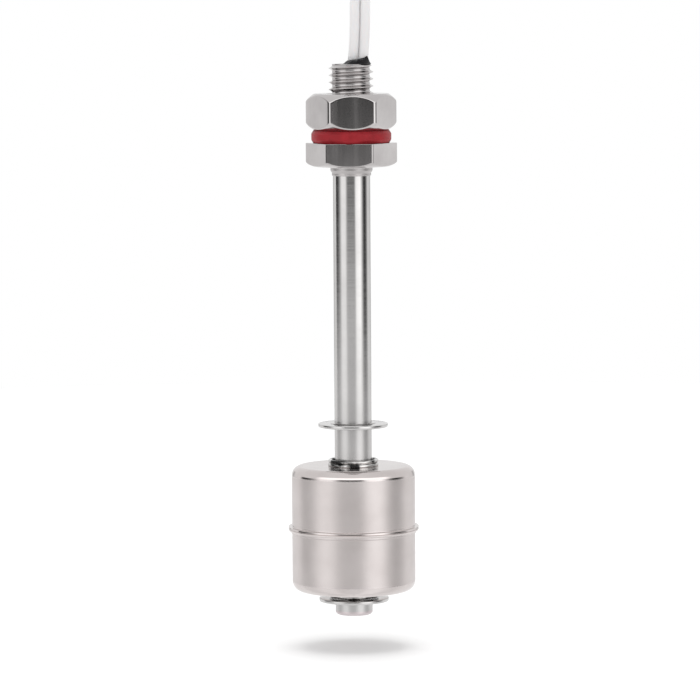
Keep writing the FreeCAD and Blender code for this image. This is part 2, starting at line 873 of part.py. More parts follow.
def write():
    """Check every object and sub-part, then write one file for each sub-part."""
    doc.recompute()
    for item in doc.Objects:
        if "Invalid" in item.State or "Error" in item.State:
            raise RuntimeError(f"{item.Label} did not recompute: {item.State}")
    for item in parts:
        if item.Shape.isNull() or not item.Shape.isValid():
            raise RuntimeError(item.Label + " has no valid shape")
    os.makedirs("parts", exist_ok=True)
    for item in parts:
        item.Shape.exportStep(f"parts/{item.Label}.step")
        print(f"{item.Label}: {len(item.Shape.Solids)} solid, {item.Shape.Volume:.1f} mm3")


build()
write()
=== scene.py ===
from math import atan2, cos, degrees, exp, log, pi, radians, sin, sqrt, tan

import bmesh
import bpy
from mathutils import Euler, Matrix, Vector, noise


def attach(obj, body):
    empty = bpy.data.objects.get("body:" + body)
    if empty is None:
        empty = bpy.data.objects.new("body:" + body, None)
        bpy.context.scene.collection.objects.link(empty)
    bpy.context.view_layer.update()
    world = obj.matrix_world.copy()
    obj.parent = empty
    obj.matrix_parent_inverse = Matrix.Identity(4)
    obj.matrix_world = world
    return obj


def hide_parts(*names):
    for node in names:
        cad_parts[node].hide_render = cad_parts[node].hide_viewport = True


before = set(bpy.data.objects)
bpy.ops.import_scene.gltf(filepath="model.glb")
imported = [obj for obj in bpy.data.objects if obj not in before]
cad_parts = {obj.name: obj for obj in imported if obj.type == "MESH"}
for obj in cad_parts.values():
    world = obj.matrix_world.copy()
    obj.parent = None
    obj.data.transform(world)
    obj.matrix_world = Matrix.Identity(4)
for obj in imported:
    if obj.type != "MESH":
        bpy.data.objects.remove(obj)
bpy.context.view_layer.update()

# Sizes below are millimetres in the CAD frame: the origin is the middle of the flange's top face,
# the stud points up and the camera looks along +Y. MM turns them into metres. UPPER_STOP is the
# underside of the upper stop ring and LOWER_STOP the top of the lower one. FLOAT_MIDDLE is the
# height of the float's seam, and FLOAT_HALF reaches from there to a face of its shells.
MM = 0.001
HEX_FLATS = 17
FLANGE_THICKNESS = 5
GASKET_THICKNESS = 2.7
STUD_TOP = 16.8
STEM_RADIUS = 4.0
STEM_TOP = -3.0
GROOVE_RADIUS = 3.5
UPPER_STOP = -60.9
LOWER_STOP = -97.9
STOP_THICKNESS = 0.7
FLOAT_MIDDLE = -82.8
FLOAT_HALF = 13.5


# Mesh helpers


def finish_mesh(name, bm, sharp):
    """Make an object of a bmesh whose points are in mm, smooth but for its sharp edges."""
    bmesh.ops.scale(bm, vec=(MM, MM, MM), verts=bm.verts)
    mesh = bpy.data.meshes.new(name)
    bm.to_mesh(mesh)
    bm.free()
    for face in mesh.polygons:
        face.use_smooth = True
    mesh.set_sharp_from_angle(angle=radians(sharp))
    made = bpy.data.objects.new(name, mesh)
    bpy.context.scene.collection.objects.link(made)
    return made


def knit(bm, rings, lag=0):
    """Make the faces between rows of points. A row closes on itself, or with a lag on the start of
    the row that many before it, as a helix does."""
    for number in range(len(rings) - 1):
        low, high = rings[number:number + 2]
        low_start = rings[max(number - lag, 0)][0]
        high_start = rings[max(number + 1 - lag, 0)][0]
        low_ahead, high_ahead = low[1:] + [low_start], high[1:] + [high_start]
        for corners in zip(low, low_ahead, high_ahead, high):
            apart = list(dict.fromkeys(corners))
            if len(apart) > 2:
                bm.faces.new(apart)


def close_up(name, bm, sharp):
    """Weld the seams of a skin and turn all its faces outwards."""
    bmesh.ops.remove_doubles(bm, verts=bm.verts, dist=1e-4)
    bmesh.ops.recalc_face_normals(bm, faces=bm.faces)
    return finish_mesh(name, bm, sharp)


def skin(name, rows, closed=False, sharp=35):
    """A surface through rows of points, each a ring. If closed, its last row meets its first."""
    bm = bmesh.new()
    rings = [[bm.verts.new(point) for point in row] for row in rows]
    knit(bm, rings + rings[:1] if closed else rings)
    return close_up(name, bm, sharp)


def ring_row(radius, height, count):
    """One level ring about the Z axis. The radius may be a function of the angle."""
    row = []
    for i in range(count):
        angle = 2 * pi * i / count
        reach = radius(angle) if callable(radius) else radius
        row.append((reach * cos(angle), reach * sin(angle), height))
    return row


def held(points, closed):
    """Add a point close to each end of a profile's long runs, so that their shading stays flat."""
    long_run, inset, most = 0.2, 0.06, 0.15
    done = []
    for i, point in enumerate(points):
        done.append(point)
        if i == len(points) - 1 and not closed:
            break
        ahead = points[(i + 1) % len(points)]
        length = sqrt((ahead[0] - point[0]) ** 2 + (ahead[1] - point[1]) ** 2)
        if length > long_run:
            close = min(inset / length, most)
            for share in (close, 1 - close):
                done.append(tuple(a + (b - a) * share for a, b in zip(point, ahead)))
    return done


def rounded(corners, closed=True, steps=5):
    """A profile of (radius, height, fillet) corners with each fillet drawn as an arc."""
    points = []
    count = len(corners)
    for i, (across, up, fillet) in enumerate(corners):
        corner = Vector((across, up))
        if fillet == 0 or (not closed and i in (0, count - 1)):
            points.append((across, up))
            continue
        back = (Vector(corners[i - 1][:2]) - corner).normalized()
        ahead = (Vector(corners[(i + 1) % count][:2]) - corner).normalized()
        half = back.angle(ahead) / 2
        centre = corner + (back + ahead).normalized() * fillet / sin(half)
        start = corner + back * fillet / tan(half) - centre
        end = corner + ahead * fillet / tan(half) - centre
        first = atan2(start.y, start.x)
        turn = (atan2(end.y, end.x) - first + pi) % (2 * pi) - pi
        for step in range(steps + 1):
            angle = first + turn * step / steps
            points.append((centre.x + fillet * cos(angle), centre.y + fillet * sin(angle)))
    return held(points, closed)


def lathe(name, corners, closed=True, count=192, steps=5, lift=0):
    """Turn a profile of (radius, height, fillet) corners about the stem's axis."""
    rows = [ring_row(r, z + lift, count) for r, z in rounded(corners, closed, steps)]
    return skin(name, rows, closed)


def soft_least(values, blend):
    """The least of several radii, with the edge between two of them rounded off."""
    least = min(values)
    return least - blend * log(sum(exp((least - value) / blend) for value in values))


def hexagon_reach(angle, turn, blend, limit=None):
    """Distance from the axis to a hexagon's side, its corners rounded, within a round limit."""
    least_facing, limit_blend = 0.3, 0.05
    reaches = []
    for side in range(6):
        facing = cos(angle - radians(turn + 30 + 60 * side))
        if facing > least_facing:
            reaches.append(HEX_FLATS / 2 / facing)
    reach = soft_least(reaches, blend)
    return reach if limit is None else soft_least([reach, limit], limit_blend)


def hexagon_rows(low, high, turn, blend, circle, slope, both_ends, count):
    """Rows up the sides of a hexagon. A cone of this slope in degrees cuts its lower end, or both
    ends, down to a circle of this diameter."""
    steps, spread, bulge, edge = 32, 1.25, 0.22, 0.12
    cone = tan(radians(90 - slope))
    deep = (HEX_FLATS / sqrt(3) - circle / 2) / cone
    levels = [deep * spread * (step / steps) ** 1.2 for step in range(steps + 1)]
    heights = [low + level for level in levels]
    if both_ends:
        heights += [high - level for level in reversed(levels)]
    else:
        heights += [high - edge, high]
    rows = []
    for height in heights:
        depths = [height - low, high - height] if both_ends else [height - low]
        limit = min(
            circle / 2 + depth * cone + bulge * sin(pi * min(depth / deep, 1)) * min(cone, 1)
            for depth in depths)
        rows.append(ring_row(
            lambda a, limit=limit: hexagon_reach(a, turn, blend, limit), height, count))
    return rows


# Materials


def fill_ramp(elements, stops):
    """Set the stops of a colour ramp, each a (place, colour) pair."""
    while len(elements) < len(stops):
        elements.new(0.5)
    for element, (position, colour) in zip(elements, stops):
        element.position = position
        element.color = (*colour, 1)


class Finish:
    """A procedural material in the making, in the piece's own coordinates."""

    def __init__(self, name, metal=0.0, rough=0.5):
        self.made = bpy.data.materials.new(name)
        self.made.use_nodes = True
        self.nodes = self.made.node_tree.nodes
        self.links = self.made.node_tree.links
        self.shader = self.nodes["Principled BSDF"]
        self.place = self.nodes.new("ShaderNodeTexCoord").outputs["Object"]
        self.put("Metallic", metal)
        self.put("Roughness", rough)
        self.put("Base Color", (0.5, 0.5, 0.5, 1))

    def put(self, socket, value):
        self.shader.inputs[socket].default_value = value

    def noise(self, scale, stretch=(1, 1, 1), detail=3.0, twist=0.0):
        """Noise with so many features to a metre, squeezed along an axis by its stretch."""
        mapping = self.nodes.new("ShaderNodeMapping")
        mapping.inputs["Scale"].default_value = stretch
        self.links.new(self.place, mapping.inputs["Vector"])
        made = self.nodes.new("ShaderNodeTexNoise")
        made.inputs["Scale"].default_value = scale
        made.inputs["Detail"].default_value = detail
        made.inputs["Distortion"].default_value = twist
        self.links.new(mapping.outputs["Vector"], made.inputs["Vector"])
        return made.outputs["Fac"]

    def ramp(self, source, stops):
        """Colour by a noise: stops are (place, colour)."""
        made = self.nodes.new("ShaderNodeValToRGB")
        fill_ramp(made.color_ramp.elements, stops)
        self.links.new(source, made.inputs["Fac"])
        self.links.new(made.outputs["Color"], self.shader.inputs["Base Color"])

    def spread(self, source, low, high):
        """Roughness by a noise, from a low to a high one."""
        made = self.nodes.new("ShaderNodeMapRange")
        made.inputs["From Min"].default_value = 0.3
        made.inputs["From Max"].default_value = 0.7
        made.inputs["To Min"].default_value = low
        made.inputs["To Max"].default_value = high
        self.links.new(source, made.inputs["Value"])
        self.links.new(made.outputs["Result"], self.shader.inputs["Roughness"])

    def polish(self, source, levels):
        """Roughness by height, unsettled by a noise: levels are (height in mm, roughness)."""
        lowest, highest = levels[0][0], levels[-1][0]
        split = self.nodes.new("ShaderNodeSeparateXYZ")
        self.links.new(self.place, split.inputs[0])
        share = self.nodes.new("ShaderNodeMapRange")
        share.inputs["From Min"].default_value = lowest * MM
        share.inputs["From Max"].default_value = highest * MM
        self.links.new(split.outputs["Z"], share.inputs["Value"])
        table = self.nodes.new("ShaderNodeValToRGB")
        fill_ramp(table.color_ramp.elements, [
            ((height - lowest) / (highest - lowest), (rough, rough, rough))
            for height, rough in levels
        ])
        self.links.new(share.outputs["Result"], table.inputs["Fac"])
        made = self.nodes.new("ShaderNodeMath")
        made.operation = "MULTIPLY_ADD"
        made.inputs[1].default_value = 0.08
        self.links.new(source, made.inputs[0])
        self.links.new(table.outputs["Color"], made.inputs[2])
        self.links.new(made.outputs[0], self.shader.inputs["Roughness"])

    def paint_root_shade(self, inner, outer, least):
        """Painted shade: darken the colour towards an inner radius in mm, where the thread's turns
        shade its roots. Below the flange's top face the depth is added to the radius, so that
        nothing darkens."""
        away = self.nodes.new("ShaderNodeVectorMath")
        away.operation = "LENGTH"
        flat = self.nodes.new("ShaderNodeVectorMath")
        flat.operation = "MULTIPLY"
        flat.inputs[1].default_value = (1, 1, 0)
        self.links.new(self.place, flat.inputs[0])
        self.links.new(flat.outputs["Vector"], away.inputs[0])
        split = self.nodes.new("ShaderNodeSeparateXYZ")
        self.links.new(self.place, split.inputs[0])
        below = self.nodes.new("ShaderNodeMath")
        below.operation = "MINIMUM"
        self.links.new(split.outputs["Z"], below.inputs[0])
        below.inputs[1].default_value = 0
        reach = self.nodes.new("ShaderNodeMath")
        reach.operation = "SUBTRACT"
        self.links.new(away.outputs["Value"], reach.inputs[0])
        self.links.new(below.outputs[0], reach.inputs[1])
        share = self.nodes.new("ShaderNodeMapRange")
        share.inputs["From Min"].default_value = inner * MM
        share.inputs["From Max"].default_value = outer * MM
        share.inputs["To Min"].default_value = least
        share.inputs["To Max"].default_value = 1.0
        self.links.new(reach.outputs[0], share.inputs["Value"])
        colour = self.shader.inputs["Base Color"].links[0].from_socket
        # The colour scaled down here is painted shade in the thread's roots.
        root_shaded = self.nodes.new("ShaderNodeVectorMath")
        root_shaded.operation = "SCALE"
        self.links.new(colour, root_shaded.inputs[0])
        self.links.new(share.outputs["Result"], root_shaded.inputs["Scale"])
        self.links.new(root_shaded.outputs["Vector"], self.shader.inputs["Base Color"])

    def bump(self, source, depth):
        """Raise the surface by a noise with this depth in mm."""
        made = self.nodes.new("ShaderNodeBump")
        made.inputs["Distance"].default_value = depth * MM
        made.inputs["Strength"].default_value = 1.0
        self.links.new(source, made.inputs["Height"])
        self.links.new(made.outputs["Normal"], self.shader.inputs["Normal"])


def steel(name, dark, light, levels, grain, along=(0.04, 0.04, 1),
          cloud=160, edges=(0.3, 0.7), root_shade=None):
    """Stainless steel: clouding between two colours, lines of turning or drawing with this depth
    in mm and this stretch, and polish by height. The edges are the ends of the clouding's ramp, and
    the painted shade in a thread's roots, if it has one, is (inner radius, outer radius, brightness
    left): the colour is painted darker there, as the turns shade them."""
    made = Finish(name, metal=1.0)
    made.ramp(made.noise(cloud, detail=4), [(edges[0], dark), (edges[1], light)])
    made.polish(made.noise(900, stretch=along, detail=2), levels)
    made.bump(made.noise(2500, stretch=along, detail=2), grain)
    if root_shade:
        made.paint_root_shade(*root_shade)
    return made.made


POLISHED = steel("polished_steel", (0.50, 0.49, 0.485), (0.56, 0.55, 0.545), [
    (-101, 0.30), (-97, 0.30), (-66, 0.27), (-58, 0.21), (-38, 0.09), (0, 0.06),
], 0.002)
# The machined steel's thread gets painted shade in its roots, darker towards their inner radius.
MACHINED = steel("machined_steel", (0.45, 0.43, 0.427), (0.54, 0.518, 0.515), [
    (-7, 0.36), (-5.3, 0.36), (-5.0, 0.08), (17, 0.06),
], 0.001, (1, 1, 0.04), root_shade=(4.1, 4.6, 0.8))
SPRING = steel("spring_steel", (0.50, 0.49, 0.485), (0.57, 0.56, 0.555), [
    (-99, 0.14), (-60, 0.12),
], 0.002)
# The lips' clouding from near black to light is painted reflection: dark and bright blotches stand
# in for what the rolled lips mirror.
LIP_STEEL_PAINTED_REFLECTIONS = steel("rolled_lip_steel_painted_reflections", (0.03, 0.03, 0.03), (0.62, 0.61, 0.60), [
    (-99, 0.05), (-66, 0.05),
], 0.004, cloud=380, edges=(0.42, 0.56))
SATIN = steel("satin_float_steel", (0.55, 0.505, 0.495), (0.61, 0.565, 0.555), [
    (-96.3, 0.05), (-94.6, 0.05), (-94.1, 0.27), (-83.6, 0.27), (-83.3, 0.03), (-82.3, 0.03),
    (-82.0, 0.27), (-71.5, 0.27), (-71.0, 0.05), (-69.3, 0.12),
], 0.001)
WELDED = steel("ground_end_steel", (0.55, 0.49, 0.50), (0.63, 0.57, 0.58), [
    (-101.6, 0.36), (-99, 0.32),
], 0.003)


def red_silicone():
    """The gasket's dull red rubber."""
    made = Finish("red_silicone", rough=0.42)
    made.ramp(made.noise(500, detail=5), [
        (0.25, (0.25, 0.010, 0.015)), (0.75, (0.35, 0.017, 0.025)),
    ])
    made.spread(made.noise(1800), 0.36, 0.52)
    made.bump(made.noise(900, stretch=(0.3, 0.3, 1.5), detail=3), 0.03)
    made.put("Specular IOR Level", 0.2)
    return made.made


def black_potting():
    """Black resin, uneven and slightly wet."""
    made = Finish("black_potting", rough=0.2)
    made.ramp(made.noise(700, detail=4), [
        (0.3, (0.002, 0.002, 0.003)), (0.75, (0.008, 0.007, 0.008)),
    ])
    made.spread(made.noise(1100), 0.14, 0.28)
    made.put("Specular IOR Level", 0.12)
    made.bump(made.noise(1300, detail=4, twist=0.6), 0.12)
    return made.made


def lead_insulation():
    """White, slightly translucent insulation."""
    made = Finish("lead_insulation", rough=0.45)
    made.ramp(made.noise(60, detail=3), [(0.3, (0.78, 0.765, 0.77)), (0.7, (0.84, 0.83, 0.83))])
    made.spread(made.noise(1500), 0.38, 0.55)
    made.bump(made.noise(700, stretch=(1, 1, 0.15), detail=3), 0.012)
    made.put("Subsurface Weight", 0.4)
    made.put("Subsurface Radius", (0.9, 0.8, 0.75))
    made.put("Subsurface Scale", 0.0012)
    return made.made


def tinned_wire():
    """Tinned copper and the reed's plated blades."""
    made = Finish("tinned_wire", metal=1.0)
    made.ramp(made.noise(900), [(0.3, (0.62, 0.62, 0.62)), (0.7, (0.78, 0.78, 0.77))])
    made.spread(made.noise(2400), 0.22, 0.42)
    made.bump(made.noise(3000), 0.01)
    return made.made


def plain_plastic(name, dark, light, rough):
    """Moulded plastic with a faint grain."""
    made = Finish(name, rough=rough)
    made.ramp(made.noise(400, detail=4), [(0.3, dark), (0.7, light)])
    made.spread(made.noise(1500), rough - 0.07, rough + 0.08)
    made.bump(made.noise(2600), 0.01)
    return made.made


def glass():
    """The reed capsule's greenish glass."""
    made = Finish("reed_glass", rough=0.05)
    made.ramp(made.noise(300), [(0.3, (0.55, 0.72, 0.60)), (0.7, (0.72, 0.85, 0.76))])
    made.spread(made.noise(800), 0.03, 0.09)
    made.put("Transmission Weight", 0.9)
    made.put("IOR", 1.5)
    return made.made


RED = red_silicone()
BLACK = black_potting()
WHITE = lead_insulation()
TINNED = tinned_wire()
TIE = plain_plastic("tie_plastic", (0.012, 0.012, 0.013), (0.026, 0.026, 0.027), 0.40)
SPACER = plain_plastic("spacer_plastic", (0.62, 0.61, 0.58), (0.72, 0.71, 0.68), 0.45)
RESIN = plain_plastic("stem_resin", (0.20, 0.12, 0.05), (0.28, 0.17, 0.08), 0.30)
FERRITE = plain_plastic("ferrite", (0.020, 0.020, 0.021), (0.045, 0.044, 0.044), 0.55)
SLEEVE = plain_plastic("reed_sleeve", (0.30, 0.30, 0.31), (0.38, 0.38, 0.39), 0.50)


def dress(piece, finish, body, slot, *nodes):
    """Give a piece its material and the body it rides on, and hide the nodes it stands for. The
    slot is not used.
    """
    piece.data.materials.append(finish)
    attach(piece, body)
    if nodes:
        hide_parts(*nodes)
    return piece


# The two leads: out of the potting, up to the hank's waist, round it twice, and out at its top.
# PITCH lies between the axes of neighbouring strands. The hank's waist is at HANK_Y and HANK_Z, and
# HALF_RUN is the height from there to a fold's centre. FOLD and WAIST are half widths. STEPS is the
# number of control points in a turn, and RUN_STEPS how many of them lie from the waist to a fold

LEAD_DIAMETER = 2.15
PITCH = 2.25
HANK_Y = 4.3
HANK_Z = 66.5
HALF_RUN = 21.5
FOLD = 6.6
WAIST = 1.15
TURNS = 2
STEPS = 16
RUN_STEPS = 2
LEAD_A = [(0.47, 0, 18), (0.88, 0, 22.5), (0.95, -0.15, 30), (1.0, -0.2, 37.2)]
LEAD_B = [(2.65, 0, 18), (3.05, 0, 22.5), (3.12, -0.1, 30), (3.2, -0.2, 37.2)]
RISE_A = [(1.05, -0.2, 44), (1.1, 0.1, 51), (1.12, 1.1, 58)]
RISE_B = [(3.3, -0.2, 44), (3.35, 0.1, 51), (3.38, 1.1, 58)]
TAIL_A = [(1.1, 7.3, 73.5), (1.0, 8.5, 82), (0.8, 8.8, 95.8), (0.8, 8.8, 105)]
TAIL_B = [(3.45, 7.3, 73.5), (3.6, 8.5, 82), (3.8, 8.8, 95.8), (3.8, 8.8, 105)]


def hank_turns(lead):
    """The control points of one lead's turns, from the waist's right side and back to it."""
    half_turn, quarter_turn = STEPS // 2, STEPS // 4
    points = []
    for step in range(TURNS * STEPS + 1):
        place = step % STEPS
        top = 1 if place < half_turn else -1
        right = 1 if place <= quarter_turn or place > 3 * quarter_turn else -1
        near = min(place % half_turn, half_turn - place % half_turn)
        share = min(near / RUN_STEPS, 1)
        spread = sin(share * pi / 2)
        half = WAIST + PITCH * cos(share * pi / 2) * lead + (FOLD - WAIST) * share
        if near <= RUN_STEPS:
            across = right * half
            height = top * HALF_RUN * share
        else:
            angle = pi / quarter_turn * (place % half_turn - RUN_STEPS)
            reach = FOLD / cos(pi / half_turn)
            across = top * reach * cos(angle)
            height = top * (HALF_RUN + reach * sin(angle))
        along = step / STEPS - 1
        back = PITCH * (1 + spread) * along + PITCH * spread * (lead - 0.5)
        points.append((across, HANK_Y + back, HANK_Z + height))
    return points


def lead_curve(name, points):
    """A round lead as one smooth spline with these control points."""
    curve = bpy.data.curves.new(name, "CURVE")
    curve.dimensions = "3D"
    curve.bevel_depth = LEAD_DIAMETER / 2 * MM
    curve.bevel_resolution = 6
    curve.use_fill_caps = True
    spline = curve.splines.new("NURBS")
    spline.points.add(len(points) - 1)
    for point, place in zip(spline.points, points):
        point.co = (*[value * MM for value in place], 1)
    spline.resolution_u = 8
    spline.order_u = 3
    spline.use_endpoint_u = True
    made = bpy.data.objects.new(name, curve)
    bpy.context.scene.collection.objects.link(made)
    return made


def lead_tip(name, foot):
    """A stripped end: six tinned strands laid round a seventh, closer together at the end."""
    radius, length, lay, steps, sides = 0.4, 6, 7, 12, 10
    closer, end_size = 0.1, 0.7
    bm = bmesh.new()
    strand = radius / 3
    for number in range(7):
        rings = []
        for step in range(steps + 1):
            height = length * step / steps
            angle = 2 * pi * number / 6 + 2 * pi * height / lay
            away = 0 if number == 6 else 2 * strand * (1 - closer * step / steps)
            middle = Vector((
                foot[0] + away * cos(angle), foot[1] + away * sin(angle), foot[2] + height))
            size = strand * (1 if step < steps else end_size)
            ring = []
            for i in range(sides):
                side = Vector((cos(2 * pi * i / sides), sin(2 * pi * i / sides), 0))
                ring.append(bm.verts.new(middle + side * size))
            rings.append(ring)
        knit(bm, rings)
        bm.faces.new(rings[-1])
        bm.faces.new(list(reversed(rings[0])))
    bmesh.ops.recalc_face_normals(bm, faces=bm.faces)
    return finish_mesh(name, bm, 50)


def tie_band():
    """A flat tie drawn tight round the hank's waist."""
    thick, half_height, fillet = 0.9, 1.8, 0.3
    half_width, half_depth, squareness, count = 4.5, 3.4, 0.45, 96
    corners = [(0, -half_height), (thick, -half_height), (thick, half_height), (0, half_height)]
    rows = []
    for across, up in rounded([(*corner, fillet) for corner in corners]):
        row = []
        for i in range(count):
            angle = 2 * pi * i / count
            x = half_width * abs(cos(angle)) ** squareness * (1 if cos(angle) > 0 else -1)
            y = half_depth * abs(sin(angle)) ** squareness * (1 if sin(angle) > 0 else -1)
            out = Vector((x / half_width ** 2, y / half_depth ** 2)).normalized()
            row.append((x + out.x * across, HANK_Y + y + out.y * across, HANK_Z + up))
        rows.append(row)
    return skin("tie_band", rows, closed=True)


LEADS = (("a", LEAD_A, RISE_A, TAIL_A), ("b", LEAD_B, RISE_B, TAIL_B))
cords = []
for lead, (letter, start, rise, tail) in enumerate(LEADS):
    cords.append(lead_curve("lead_" + letter + "_cord", start + rise + hank_turns(lead) + tail))
band = dress(tie_band(), TIE, "stem", "tie_plastic", "hank_tie")
for letter, _, _, tail in LEADS:
    tip = lead_tip("lead_" + letter + "_strands", tail[-1])
    dress(tip, TINNED, "stem", "tinned_wire", "lead_tip_" + letter)
dress(cords[0], WHITE, "stem", "lead_insulation", "lead_a", "lead_tail_a", "lead_hank")
dress(cords[1], WHITE, "stem", "lead_insulation", "lead_b", "lead_tail_b")


# Threaded fitting: stud with an M10 x 1.5 thread, hex flange and weld collar in one piece.
# THREAD_START is the height of a crest at the X axis, THREAD_ROWS the number of rows in a pitch,
# and CREST and ROOT are radii. FLANGE_TURN turns the hexagon in degrees, and FLANGE_BLEND rounds
# its corners, as FLANGE_EDGE does its upper edge

THREAD_PITCH = 1.5
THREAD_START = 0.13
THREAD_ROWS = 14
CREST = 4.87
ROOT = 4.02
FLANGE_TURN = -2.8
FLANGE_BLEND = 0.09
FLANGE_EDGE = 0.06


def thread_reach(phase):
    """Radius of the thread at a share of its pitch from a crest."""
    flank = 0.42
    away = abs((phase + 0.5) % 1 - 0.5)
    return CREST - (CREST - ROOT) * sin(pi / 2 * min(away / flank, 1))


def stud_rows(count):
    """Rows of the threaded stud from its top to the flange. Between these they slope with the
    helix, and a bevel cuts the thread at the top."""
    bevel_root, bevel_slope = 0.06, 1.02
    rows = []
    total = int((STUD_TOP / THREAD_PITCH + 2) * THREAD_ROWS)
    for step in range(total + 1):
        row = []
        for i in range(count):
            angle = 2 * pi * i / count
            turn = angle / (2 * pi)
            height = STUD_TOP + THREAD_PITCH * (turn - step / THREAD_ROWS)
            level = min(max(height, 0), STUD_TOP)
            phase = (level - THREAD_START) / THREAD_PITCH - turn
            limit = ROOT + bevel_root + (STUD_TOP - level) * bevel_slope
            radius = min(thread_reach(phase), limit)
            row.append((radius * cos(angle), radius * sin(angle), level))
        rows.append(row)
    return rows


def flange_reach(angle):
    """Distance from the axis to the flange's side."""
    return hexagon_reach(angle, FLANGE_TURN, FLANGE_BLEND)


def fitting():
    """The fitting's skin: its bore, the thread, the flange and the weld collar."""
    count = 288
    bore_radius, collar_end = 3.65, -7.0
    foot_radius, circle, slope, under_radius = 5.3, 16.3, 30, 8.0
    inside = rounded([
        (STEM_RADIUS, collar_end, 0), (STEM_RADIUS, STEM_TOP, 0), (bore_radius, STEM_TOP, 0),
        (bore_radius, STUD_TOP - 0.1, 0), (bore_radius + 0.1, STUD_TOP, 0),
    ], closed=False)
    bore = [ring_row(r, z, count) for r, z in inside]
    rows = [ring_row(foot_radius, 0, count)]
    rows += [ring_row(lambda a: flange_reach(a) - FLANGE_EDGE, 0, count)]
    sides = hexagon_rows(
        -FLANGE_THICKNESS, 0, FLANGE_TURN, FLANGE_BLEND, circle, slope, False, count)
    sides[-1] = ring_row(flange_reach, -FLANGE_EDGE, count)
    rows += list(reversed(sides))
    rows += [ring_row(under_radius, -FLANGE_THICKNESS, count)]
    collar = rounded([
        (6.0, -FLANGE_THICKNESS, 0), (4.5, -FLANGE_THICKNESS, 0.35), (4.5, -5.9, 0.3),
        (4.18, -6.4, 0.2), (4.18, collar_end, 0.12), (STEM_RADIUS, collar_end, 0),
    ], closed=False)
    rows += [ring_row(r, z, count) for r, z in collar]
    bm = bmesh.new()
    inner, stud, outer = ([[bm.verts.new(point) for point in row] for row in group]
                          for group in (bore, stud_rows(count), rows))
    knit(bm, inner + stud[:1])
    knit(bm, stud, THREAD_ROWS)
    knit(bm, stud[-1:] + outer + inner[:1])
    return close_up("fitting_body", bm, 28)


def lock_nut():
    """The nut on its gasket, its bore countersunk at both ends."""
    count = 360
    height, turn, blend, circle, slope = 7.8, 2, 0.2, 16, 45
    face, mouth, bore, sink = 7.7, 5.5, 5.1, 0.4
    profile = ((face, height), (mouth, height), (bore, height - sink), (bore, sink))
    rows = [ring_row(radius, 0, count) for radius in (mouth, face)]
    rows += hexagon_rows(0, height, turn, blend, circle, slope, True, count)
    rows += [ring_row(radius, level, count) for radius, level in profile]
    rows = [[(x, y, z + GASKET_THICKNESS) for x, y, z in row] for row in rows]
    return skin("lock_nut", rows, closed=True, sharp=28)


dress(fitting(), MACHINED, "stem", "stainless_steel", "threaded_fitting")
dress(lock_nut(), MACHINED, "nut", "stainless_steel", "mounting_nut")


def gasket_ring():
    """The gasket, its rim swollen a little by the nut's pressure."""
    inside, face, rim, swell = 5.05, 8.15, 8.55, 0.7
    return lathe("gasket_ring", [
        (inside, 0.0, 0.1), (face, 0.0, 0.35), (rim, swell, 0.5),
        (rim, GASKET_THICKNESS - swell, 0.5), (face, GASKET_THICKNESS, 0.35),
        (inside, GASKET_THICKNESS, 0.1),
    ])


dress(gasket_ring(), RED, "stem", "red_silicone", "gasket")


# Stem: a tube with two grooves and a closed end. END_JOINT is where the end piece begins

STEM_INSIDE = 3.0
END_JOINT = -100.6
STEM_END = -101.6


def stem():
    """The tube, with grooves that leave the stop rings a little play."""
    play, fillet = 0.05, 0.05
    corners = [(STEM_RADIUS, STEM_TOP, fillet)]
    for low, high in (
            (UPPER_STOP - play, UPPER_STOP + STOP_THICKNESS + play),
            (LOWER_STOP - STOP_THICKNESS - play, LOWER_STOP + play)):
        corners += [(STEM_RADIUS, high, fillet), (GROOVE_RADIUS, high, fillet)]
        corners += [(GROOVE_RADIUS, low, fillet), (STEM_RADIUS, low, fillet)]
    corners += [
        (STEM_RADIUS, END_JOINT, 0), (STEM_INSIDE, END_JOINT, 0), (STEM_INSIDE, STEM_TOP, 0),
    ]
    return lathe("stem_polished", corners, count=160, steps=2)


def stem_end():
    """The end piece, with a rounded face and a plug that reaches into the tube."""
    plug_top = -99.1
    return lathe("stem_end", [
        (0, STEM_END, 0), (2.6, STEM_END, 0), (3.55, -101.52, 0.5), (STEM_RADIUS, -101.05, 0.4),
        (STEM_RADIUS, END_JOINT, 0), (STEM_INSIDE, END_JOINT, 0), (STEM_INSIDE, plug_top, 0),
        (0, plug_top, 0),
    ], closed=False, count=160, steps=4)


dress(stem(), POLISHED, "stem", "stainless_steel", "stem_tube")
dress(stem_end(), WELDED, "stem", "stainless_steel", "stem_end_cap")


